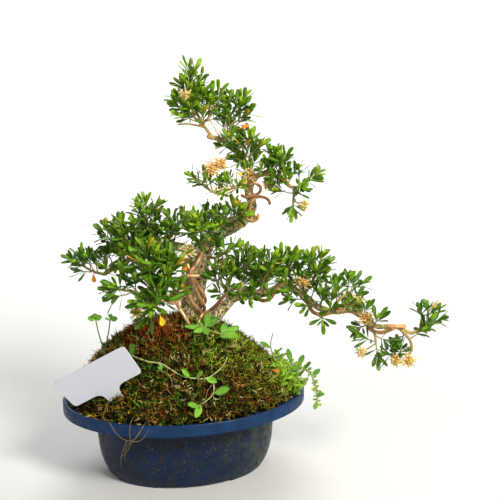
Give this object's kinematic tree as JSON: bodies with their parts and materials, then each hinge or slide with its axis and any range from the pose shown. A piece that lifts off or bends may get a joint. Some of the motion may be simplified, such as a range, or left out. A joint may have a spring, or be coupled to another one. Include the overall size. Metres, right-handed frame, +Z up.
{
  "type": "boxwood bonsai",
  "caption": "Boxwood bonsai with a bent trunk and a long cascading branch, small paired leaves, cream tufted flowers and copper-toned training wire, on a mossy mound in an oval blue pot.",
  "frame": {"origin": "centre of the pot's underside, level with its feet", "axes": "+Z up, +X along the pot's long axis towards the side that the long branch cascades over, -Y towards the front of the tree"},
  "size_m": [0.2589, 0.149, 0.2847],
  "materials": {
    "pot": "navy blue injection-moulded plastic, satin, scuffed and dusty",
    "soil": "damp dark potting soil",
    "moss": "mixed olive, brown and orange moss, matte",
    "bark": "pale tan corky bark with yellow-green lichen",
    "wire": "copper-brown anodised wire, satin",
    "leaf": "glossy deep green leaf with yellow-green new growth",
    "flower": "cream-yellow stamens, matte",
    "weed": "bright soft green leaf, satin",
    "label": "blank white plastic, satin"
  },
  "bodies": {
    "root": {"pot": "pot", "soil": "soil", "moss": "moss", "plant_label": "label", "tree": "bark", "wire_trunk_a": "wire", "wire_trunk_b": "wire", "wire_trunk_c": "wire", "wire_left_branch": "wire", "wire_cascade": "wire", "wire_crown_hook": "wire", "wire_crown_loop": "wire", "bloom_crown": "flower", "bloom_left_shelf": "flower", "bloom_apex": "flower", "bloom_right_shelf": "flower", "bloom_right_shelf_low": "flower", "bloom_neck": "flower", "bloom_trunk_top": "flower", "bloom_trunk_right": "flower", "bloom_cascade_1": "flower", "bloom_cascade_4": "flower", "bloom_cascade_6": "flower", "bloom_cascade_7": "flower", "bloom_cascade_low": "flower", "bloom_cascade_under": "flower", "bloom_left_low": "flower", "weed_creeper": "weed", "weed_clover": "weed", "weed_rosette": "weed", "weed_edge_clump": "weed", "spray_crown_top": "leaf", "spray_crown_right": "leaf", "spray_apex": "leaf", "spray_left_shelf": "leaf", "spray_right_shelf_top": "leaf", "spray_right_shelf_end": "leaf", "spray_left_arm_tip": "leaf", "spray_left_arm_outer": "leaf", "spray_left_arm_peak": "leaf", "spray_left_arm_front": "leaf", "spray_left_arm_inner": "leaf", "spray_left_arm_back": "leaf", "spray_shoulder_front": "leaf", "spray_shoulder_right": "leaf", "spray_shoulder_back": "leaf", "spray_trunk_front": "leaf", "spray_left_low_tip": "leaf", "spray_left_low_top": "leaf", "spray_left_low_inner": "leaf", "spray_left_low_face": "leaf", "spray_cascade_1": "leaf", "spray_cascade_2": "leaf", "spray_cascade_3": "leaf", "spray_cascade_4": "leaf", "spray_cascade_5": "leaf", "spray_cascade_6": "leaf", "spray_cascade_7": "leaf", "spray_cascade_under": "leaf", "spray_cascade_tip": "leaf"}
  },
  "joints": []
}
